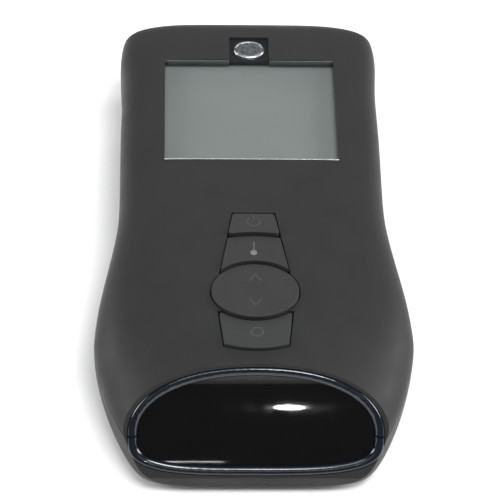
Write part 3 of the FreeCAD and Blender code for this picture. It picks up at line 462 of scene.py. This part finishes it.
class Marks:
    """Thin raised shapes, in millimetres, gathered into one mesh that follows a surface."""

    SUNK = 0.03
    END_STEPS = (80, 60, 35)

    def __init__(self, surface, thickness):
        self.surface = surface
        self.thickness = thickness
        self.points = []
        self.faces = []

    def point(self, x, y, level):
        self.points.append(Vector((x, y, self.surface.height(x, y) + level)) * MM)
        return len(self.points) - 1

    def profile(self):
        """Cross-section of a rounded raised line: (offset as a part of its half width, level)."""
        t = self.thickness
        return [(-1, -self.SUNK), (-1, 0.45 * t), (-0.62, 0.92 * t), (0, t),
                (0.62, 0.92 * t), (1, 0.45 * t), (1, -self.SUNK)]

    def round_end(self, spot, outwards, ahead, half):
        """Rows (spot, direction, half width) that narrow to a round end, the end first."""
        rows = []
        for step in self.END_STEPS:
            angle = math.radians(step)
            rows.append((spot + outwards * half * math.sin(angle), ahead, half * math.cos(angle)))
        return rows

    def line(self, path, width, closed=False):
        """A raised line along a path of 2-D points, with round ends where it is open."""
        half = width / 2
        rows = []
        for i, spot in enumerate(path):
            before = path[i - 1] if closed or i else spot
            after = path[(i + 1) % len(path)] if closed or i < len(path) - 1 else spot
            rows.append((spot, (after - before).normalized(), half))
        if not closed:
            (first, leaving, _), (last, arriving, _) = rows[0], rows[-1]
            head = self.round_end(first, -leaving, leaving, half)
            tail = self.round_end(last, arriving, arriving, half)
            rows = head + rows + tail[::-1]
        grid = []
        for spot, ahead, reach in rows:
            side = Vector((ahead.y, -ahead.x)) * reach
            grid.append([self.point(*(spot + side * offset), level)
                         for offset, level in self.profile()])
        for one, two in zip(grid, grid[1:] + grid[:1] if closed else grid[1:]):
            self.faces += bridge(one, two)
        if not closed:
            self.faces += [tuple(grid[0][::-1]), tuple(grid[-1])]

    def button(self, x, y, radius, sides=28):
        """A raised round spot."""
        t = self.thickness
        turn = [math.tau * i / sides for i in range(sides)]
        rings = []
        for part, level in ((1.0, -self.SUNK), (1.0, 0.45 * t), (0.86, 0.85 * t), (0.5, 0.97 * t)):
            reach = radius * part
            rings.append([self.point(x + reach * math.cos(a), y + reach * math.sin(a), level)
                          for a in turn])
        for one, two in zip(rings, rings[1:]):
            self.faces += bridge(one, two)
        self.faces.append(tuple(rings[0][::-1]))
        middle = self.point(x, y, t)
        rim = rings[-1]
        self.faces += [(rim[i], rim[(i + 1) % sides], middle) for i in range(sides)]

    def finish(self, name, body, material):
        add_piece(name, self.points, self.faces, body, material)


def arc(x, y, radius, start, end, steps, flatten=1.0):
    """Points on an arc, in degrees from +x. A flatten below 1 makes it oval."""
    spots = []
    for i in range(steps + 1):
        angle = math.radians(start + (end - start) * i / steps)
        spots.append(Vector((x + radius * math.cos(angle),
                             y + radius * flatten * math.sin(angle))))
    return spots


def loop(x, y, radius, steps, flatten=1.0):
    """The same all the way round, with no point twice."""
    return arc(x, y, radius, 0, 360 - 360 / steps, steps - 1, flatten)


def run(*corners, step=0.4):
    """Straight runs through the corners, with points close enough to follow a curved surface."""
    spots = []
    for start, end in zip(corners, corners[1:]):
        a, b = Vector(start), Vector(end)
        count = max(int((b - a).length / step), 2)
        spots += [a.lerp(b, i / count) for i in range(count)]
    return spots + [Vector(corners[-1])]


# Places and sizes of the marks on the keys, in millimetres.
PRINT = 0.05              # height of the marks on the keys
POWER_Y = -5.5
POWER_RADIUS = 1.75
POWER_GAP = (125, 415)    # the ring runs from one angle to the other
POWER_BAR = (-5.1, -3.3)
POWER_STROKE = 0.42
THERMOMETER_X = -0.1
THERMOMETER_STEM = (-15.8, -12.9)
THERMOMETER_BULB = (-0.2, -16.6)
BULB_RADIUS = 0.95
STROKE = 0.45
# Name, tip and the way from the tip to the foot. The up arrow points at the display.
ARROWS = (("rocker_mark_up", -24.0, -1), ("rocker_mark_down", -35.0, 1))
ARROW_REACH = 1.6
ARROW_RISE = 2.3
MODE_CENTRE = (0.2, -43.7)
MODE_RADIUS = 1.55
MODE_STROKE = 0.6

faint_ink = printed_ink("faint_ink", (0.041, 0.041, 0.042))
stem_ink = printed_ink("stem_ink", (0.070, 0.070, 0.072))
bright_ink = printed_ink("bright_ink", (0.135, 0.135, 0.14))


def key_marks():
    power = Marks(Surface("power_key"), PRINT)
    power.line(arc(0, POWER_Y, POWER_RADIUS, *POWER_GAP, 26), POWER_STROKE)
    power.line(run(*((0, y) for y in POWER_BAR)), POWER_STROKE)
    power.finish("power_mark", "power_button", faint_ink)

    face = Surface("temperature_key")
    stem = Marks(face, PRINT)
    stem.line(run(*((THERMOMETER_X, y) for y in THERMOMETER_STEM)), STROKE)
    stem.finish("thermometer_stem", "temperature_button", stem_ink)
    bulb = Marks(face, PRINT)
    bulb.button(*THERMOMETER_BULB, BULB_RADIUS)
    bulb.finish("thermometer_bulb", "temperature_button", bright_ink)

    face = Surface("rocker_key")
    for name, tip, way in ARROWS:
        arrow = Marks(face, PRINT)
        base = tip + way * ARROW_RISE
        arrow.line(run((-ARROW_REACH, base), (0, tip), (ARROW_REACH, base)), STROKE)
        arrow.finish(name, "rocker", faint_ink)

    mode = Marks(Surface("mode_key"), PRINT)
    mode.line(loop(*MODE_CENTRE, MODE_RADIUS, 36), MODE_STROKE, closed=True)
    mode.finish("mode_mark", "mode_button", faint_ink)


OPENING_INSET = 2.0       # display opening inside the window's edge
TAB_CLEAR = 0.3           # far edges short of the badge tab
CORNER_CLEAR = 0.1        # far edges short of the side walls
EDGE_STEPS = 24

# Sections of the window's edges: distance from the opening's wall towards the tail, and
# drop below the housing's highest point. A point without a drop is on the window's face.
NEAR_SECTION = ((0.02, None), (0.02, 0.12), (0.08, 0.05), (0.17, 0.03), (0.26, 0.07),
                (0.34, 0.35), (0.42, None))
FAR_SECTION = ((-0.30, None), (-0.26, 0.50), (-0.20, 0.38), (-0.10, 0.32), (-0.02, 0.36),
               (-0.02, None))


def window_edge(name, x_low, x_high, section, material):
    """One upstanding edge of the display window: a section of (y, z) run along X."""
    count = len(section)
    points = []
    for i in range(EDGE_STEPS + 1):
        x = x_low + (x_high - x_low) * i / EDGE_STEPS
        points += [Vector((x, y, z)) * MM for y, z in section]
    grid = [list(range(i * count, (i + 1) * count)) for i in range(EDGE_STEPS + 1)]
    faces = [face for one, two in zip(grid, grid[1:]) for face in bridge(one, two)]
    faces += [tuple(grid[0][::-1]), tuple(grid[-1])]
    add_piece(name, points, faces, "housing", material)


def window_edges():
    """The display window's moulded edges: polished at the near side, with a light grey that is a
    painted highlight; satin at the far wall, with a slate grey that is painted light.
    """
    low, high = (Vector(c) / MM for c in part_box("display_window"))
    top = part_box("upper_shell")[1].z / MM
    half = high.x - OPENING_INSET
    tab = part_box("badge_plate")[1].x / MM + TAB_CLEAR

    def placed(section, wall):
        return [(wall + y, high.z if drop is None else top - drop) for y, drop in section]

    near = placed(NEAR_SECTION, low.y + OPENING_INSET)
    window_edge("window_near_edge", -half, half, near, painted_highlight_edge())
    far = placed(FAR_SECTION, high.y - OPENING_INSET)
    # The far edges' slate grey is painted light that the far wall catches.
    satin = satin_edge_painted_light()
    window_edge("window_far_edge_left", -half + CORNER_CLEAR, -tab, far, satin)
    window_edge("window_far_edge_right", tab, half - CORNER_CLEAR, far, satin)


EMBOSS = 0.10             # height of the marks on the badge
RIM_INSET = 0.45
RIM_STROKE = 0.5
LENS_OFFSET = 2.6         # centres of the lens outline's two arcs, off the badge's middle
LENS_RADIUS = 3.9
LENS_STROKE = 0.34


def badge_marks():
    """A plain raised rim and a lens outline, which stand for no maker."""
    low, high = (Vector(c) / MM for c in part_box("badge"))
    middle = (low + high) / 2
    half = (high - low) / 2
    face = Surface("badge")
    reach, rise = half.x - RIM_INSET, half.y - RIM_INSET
    rim = Marks(face, EMBOSS)
    rim.line(loop(middle.x, middle.y, reach, 56, rise / reach), RIM_STROKE, closed=True)
    rim.finish("badge_rim", "housing", SLOT_LOOKS["badge_metal"])
    lens = Marks(face, EMBOSS)
    for offset, start, end in ((-LENS_OFFSET, 57, 123), (LENS_OFFSET, 237, 303)):
        lens.line(arc(middle.x, middle.y + offset, LENS_RADIUS, start, end, 16), LENS_STROKE)
    lens.finish("badge_lens", "housing", NODE_LOOKS["badge_plate"])


key_marks()
window_edges()
badge_marks()

# ---------------------------------------------------------------- floor and lights

FLOOR_HALF = 4.0
FLOOR_DROP = 0.2 * MM     # keeps the floor clear of the case's flat back
SKY_COLOUR = (0.95, 0.97, 1.0, 1)
SKY_STRENGTH = 0.12

CENTRE = (0, 0, 0.02)
# Soft boxes aimed at the middle of the case: place, width, height, watts.
SOFTBOXES = {
    "overhead_softbox": ((0.0, -0.30, 1.5), 1.3, 0.9, 11),
    "crest_lamp": ((0.30, -0.45, 1.40), 0.6, 0.35, 13),
    "left_softbox": ((-1.3, 0.15, 0.50), 0.9, 0.5, 14),
    "right_softbox": ((1.3, 0.1, 0.50), 0.9, 0.5, 17),
    "back_softbox": ((0, 1.4, 0.40), 1.2, 0.4, 5.5),
}
# Strips in front of the nose, in one direction from the origin and one above another.
STRIP_COUNT = 3
STRIP_AZIMUTH = -88
STRIP_ELEVATION = 35.4
STRIP_PITCH = 0.7         # degrees from one strip to the next
STRIP_AWAY = 1.6
STRIP_SIZE = (1.2, 0.2)
STRIP_WATTS = 0.42
# Small lamps for the two glints in the nose window: the point where the glint shows, the
# lamp's azimuth and elevation from there, its width and height, watts and shape.
GLINT_AWAY = 1.2
GLINTS = {
    "window_lamp": ((8.5, -60.7, 21.9), (-86.6, 27.3), (0.021, 0.014), 0.30, "ELLIPSE"),
    "window_strip": ((-17.3, -70.2, 10.0), (-89.4, 16.4), (0.05, 0.003), 0.008, "RECTANGLE"),
}


def make_floor():
    mesh = bpy.data.meshes.new("floor")
    corners = [(-FLOOR_HALF, -FLOOR_HALF, 0), (FLOOR_HALF, -FLOOR_HALF, 0),
               (FLOOR_HALF, FLOOR_HALF, 0), (-FLOOR_HALF, FLOOR_HALF, 0)]
    mesh.from_pydata(corners, [], [(0, 1, 2, 3)])
    mesh.materials.append(pale_floor())
    floor = bpy.data.objects.new("floor", mesh)
    floor.location.z = -FLOOR_DROP
    bpy.context.scene.collection.objects.link(floor)


def softbox(name, place, aim, width, height, watts, shape="RECTANGLE"):
    data = bpy.data.lights.new(name, "AREA")
    data.shape = shape
    data.size = width
    data.size_y = height
    data.energy = watts
    light = bpy.data.objects.new(name, data)
    light.location = place
    light.rotation_euler = (Vector(aim) - Vector(place)).to_track_quat("-Z", "Y").to_euler()
    bpy.context.scene.collection.objects.link(light)


def towards(azimuth, elevation):
    """Unit vector, in degrees from +x and above the floor."""
    a, e = math.radians(azimuth), math.radians(elevation)
    return Vector((math.cos(e) * math.cos(a), math.cos(e) * math.sin(a), math.sin(e)))


def make_lights():
    for name, (place, width, height, watts) in SOFTBOXES.items():
        softbox(name, place, CENTRE, width, height, watts)
    for i in range(STRIP_COUNT):
        place = towards(STRIP_AZIMUTH, STRIP_ELEVATION + STRIP_PITCH * i) * STRIP_AWAY
        softbox("front_strip_%d" % i, place, CENTRE, *STRIP_SIZE, STRIP_WATTS)
    for name, (spot, way, size, watts, shape) in GLINTS.items():
        aim = Vector(spot) * MM
        softbox(name, aim + towards(*way) * GLINT_AWAY, aim, *size, watts, shape)


def make_sky():
    world = bpy.data.worlds.new("studio")
    world.use_nodes = True
    back = world.node_tree.nodes["Background"]
    back.inputs["Color"].default_value = SKY_COLOUR
    back.inputs["Strength"].default_value = SKY_STRENGTH
    bpy.context.scene.world = world


make_floor()
make_sky()
make_lights()
bpy.context.scene.view_settings.view_transform = "Standard"
